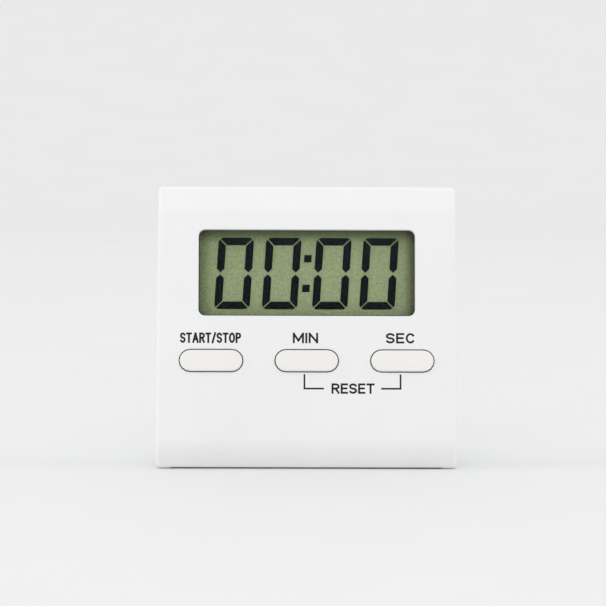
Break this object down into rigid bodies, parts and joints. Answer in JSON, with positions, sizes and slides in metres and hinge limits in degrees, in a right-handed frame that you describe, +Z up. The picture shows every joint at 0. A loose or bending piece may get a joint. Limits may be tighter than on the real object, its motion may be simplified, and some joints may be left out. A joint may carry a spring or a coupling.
{
  "type": "digital countdown timer",
  "caption": "Wedge-shaped white countdown timer with a recessed digital display, pill-shaped keys, a fold-out stand, a magnet and a coin-cell door.",
  "frame": {"origin": "centre of the base's bounding rectangle, on the surface the timer stands on", "axes": "+X to the viewer's right across the front, +Y from front to back, +Z up; the front face leans back 8 degrees and the rear face is upright"},
  "size_m": [0.066, 0.02, 0.0614],
  "materials": {
    "white_abs": "white moulded ABS with a fine satin texture",
    "key_abs": "slightly warmer white moulded ABS",
    "clear_acrylic": "clear polished acrylic sheet",
    "lcd_glass": "thin soda-lime glass with clear electrodes",
    "polariser": "grey-green polarising film",
    "reflector": "polarising film on a diffuse grey-green reflector",
    "silicone": "translucent grey silicone rubber",
    "carbon_rubber": "black conductive rubber",
    "connector_rubber": "layered conductive silicone strip",
    "board_laminate": "green solder mask on glass-epoxy laminate",
    "epoxy": "black epoxy",
    "tin": "tin-plated steel can",
    "chip_ceramic": "tan ceramic chip",
    "brass": "thin rolled brass",
    "piezo_ceramic": "silvered off-white piezo ceramic",
    "ferrite": "dark grey sintered ferrite magnet",
    "nickel": "nickel-plated steel",
    "zinc_steel": "zinc-plated steel",
    "red_pvc": "red PVC insulation",
    "black_pvc": "black PVC insulation"
  },
  "bodies": {
    "case": {"front_case": "white_abs", "rear_case": "white_abs", "display_lens": "clear_acrylic", "front_polariser": "polariser", "lcd_front_glass": "lcd_glass", "lcd_rear_glass": "lcd_glass", "rear_reflector": "reflector", "lcd_connector": "connector_rubber", "keypad_mat": "silicone", "circuit_board": "board_laminate", "controller_blob": "epoxy", "quartz_crystal": "tin", "chip_resistor_1": "epoxy", "chip_resistor_2": "epoxy", "chip_capacitor_1": "chip_ceramic", "chip_capacitor_2": "chip_ceramic", "button_cell": "nickel", "negative_contact": "nickel", "positive_contact": "nickel", "sounder_plate": "brass", "sounder_ceramic": "piezo_ceramic", "magnet": "ferrite", "cell_wire_red": "red_pvc", "cell_wire_black": "black_pvc", "sounder_wire_red": "red_pvc", "sounder_wire_black": "black_pvc", "case_screw_lower_left": "zinc_steel", "case_screw_lower_right": "zinc_steel", "case_screw_upper_left": "zinc_steel", "case_screw_upper_right": "zinc_steel", "board_screw_1": "zinc_steel", "board_screw_2": "zinc_steel", "board_screw_3": "zinc_steel", "board_screw_4": "zinc_steel"},
    "start_stop_key": {"start_stop_button": "key_abs", "start_stop_contact": "carbon_rubber"},
    "minute_key": {"minute_button": "key_abs", "minute_contact": "carbon_rubber"},
    "second_key": {"second_button": "key_abs", "second_contact": "carbon_rubber"},
    "stand": {"stand": "white_abs"},
    "door": {"battery_door": "white_abs"}
  },
  "joints": [
    {"name": "start_stop_press", "type": "slide", "parent": "case", "child": "start_stop_key", "axis": [0, 0.9903, -0.1392], "range_m": [0, 0.0008], "stiffness_N_per_m": 1200, "springref_m": -0.0003, "deforming": ["keypad_mat"]},
    {"name": "minute_press", "type": "slide", "parent": "case", "child": "minute_key", "axis": [0, 0.9903, -0.1392], "range_m": [0, 0.0008], "stiffness_N_per_m": 1200, "springref_m": -0.0003, "deforming": ["keypad_mat"]},
    {"name": "second_press", "type": "slide", "parent": "case", "child": "second_key", "axis": [0, 0.9903, -0.1392], "range_m": [0, 0.0008], "stiffness_N_per_m": 1200, "springref_m": -0.0003, "deforming": ["keypad_mat"]},
    {"name": "stand_hinge", "type": "hinge", "parent": "case", "child": "stand", "pos_m": [0, 0.0083, 0.0395], "axis": [1, 0, 0], "range_deg": [0, 30]},
    {"name": "door_turn", "type": "hinge", "parent": "case", "child": "door", "pos_m": [-0.0216, 0.009, 0.018], "axis": [0, 1, 0], "range_deg": [0, 60]}
  ]
}
